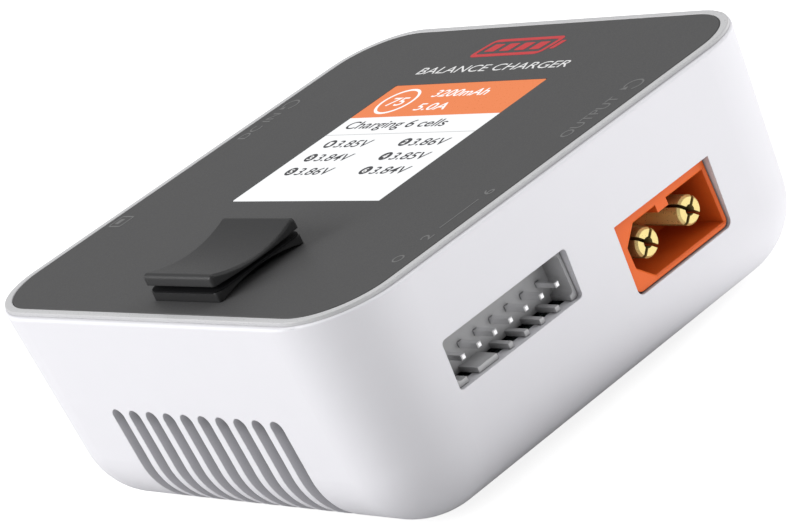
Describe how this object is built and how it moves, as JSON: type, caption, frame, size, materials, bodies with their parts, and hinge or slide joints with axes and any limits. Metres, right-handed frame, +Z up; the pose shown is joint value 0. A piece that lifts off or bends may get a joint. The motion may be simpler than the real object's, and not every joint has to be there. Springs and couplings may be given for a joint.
{
  "type": "balance battery charger",
  "caption": "Small square balance charger with a dark face panel, square colour display, rocking paddle key, side power sockets, balance header and vented walls.",
  "frame": {"origin": "centre of the case's footprint, on the plane the four rubber feet rest on", "axes": "+X out of the wall with the battery and balance sockets, -X out of the wall with the power input, -Y out of the wall nearest the rocker, +Z up through the face panel"},
  "size_m": [0.0712, 0.0712, 0.0336],
  "materials": {
    "white_plastic": "fine satin moulded",
    "grey_plastic": "satin moulded",
    "panel_plastic": "matte dark grey",
    "black_plastic": "satin black",
    "black_epoxy": "moulded semiconductor package",
    "window_clear": "clear flush lens",
    "lcd_glass": "lit display",
    "orange_plastic": "moulded nylon",
    "header_plastic": "moulded nylon, mid grey",
    "gold_contact": "gold plated, bright",
    "tinned_metal": "bright tin",
    "steel": "zinc plated",
    "board_mask": "black solder mask over glass fibre",
    "rubber": "matte",
    "mesh_grey": "fine woven dust mesh",
    "aluminium": "anodised",
    "copper": "enamelled copper wire",
    "ferrite": "pressed iron powder",
    "flex_film": "polyimide film",
    "foam": "closed-cell foam",
    "thermal_grey": "soft gap filler"
  },
  "bodies": {
    "case": {"lower_housing": "white_plastic", "top_bezel": "grey_plastic", "face_panel": "panel_plastic", "rubber_feet": "rubber", "case_screws": "steel", "vent_mesh_front": "mesh_grey", "vent_mesh_rear": "mesh_grey", "display_window": "window_clear", "lcd_cell": "lcd_glass", "lcd_backlight_frame": "steel", "lcd_foam_tape": "foam", "lcd_flex": "flex_film", "flex_connector": "black_plastic", "display_board": "board_mask", "display_board_screws": "steel", "rocker_base": "black_plastic", "rocker_seal": "rubber", "snap_domes": "steel", "link_header": "black_plastic", "link_pins": "gold_contact", "link_socket": "black_plastic", "main_board": "board_mask", "battery_connector_housing": "orange_plastic", "battery_connector_pins": "gold_contact", "input_connector_housing": "orange_plastic", "input_connector_pins": "gold_contact", "balance_header_housing": "header_plastic", "balance_header_pins": "tinned_metal", "usb_shell": "tinned_metal", "usb_tongue": "black_plastic", "controller_chip": "black_epoxy", "crystal": "steel", "buzzer": "black_plastic", "bulk_capacitors": "aluminium", "shunt_resistors": "black_epoxy", "balance_resistors": "black_epoxy", "power_inductors": "ferrite", "power_transistors": "black_epoxy", "thermal_pad": "thermal_grey", "heat_sink": "aluminium", "heat_sink_screws": "steel", "fan_frame": "black_plastic", "fan_bearing": "copper", "fan_stator": "steel", "fan_coils": "copper", "fan_screws": "steel", "fan_socket": "header_plastic", "fan_plug": "header_plastic", "fan_leads": "rubber"},
    "rocker_slide": {"rocker_carrier": "black_plastic", "rocker_pin": "steel"},
    "rocker": {"rocker_cap": "black_plastic", "rocker_lever": "black_plastic"},
    "fan": {"fan_rotor": "black_plastic", "fan_shaft": "steel", "fan_magnet": "ferrite"}
  },
  "joints": [
    {"name": "rocker_press", "type": "slide", "parent": "case", "child": "rocker_slide", "axis": [0, 0, -1], "range_m": [0, 0.0002], "deforming": ["snap_domes"]},
    {"name": "rocker_tilt", "type": "hinge", "parent": "rocker_slide", "child": "rocker", "pos_m": [0.0045, -0.0248, 0.0277], "axis": [1, 0, 0], "range_deg": [-3, 3]},
    {"name": "fan_spin", "type": "hinge", "parent": "case", "child": "fan", "pos_m": [0, 0, 0.006], "axis": [0, 0, 1], "continuous": true}
  ]
}
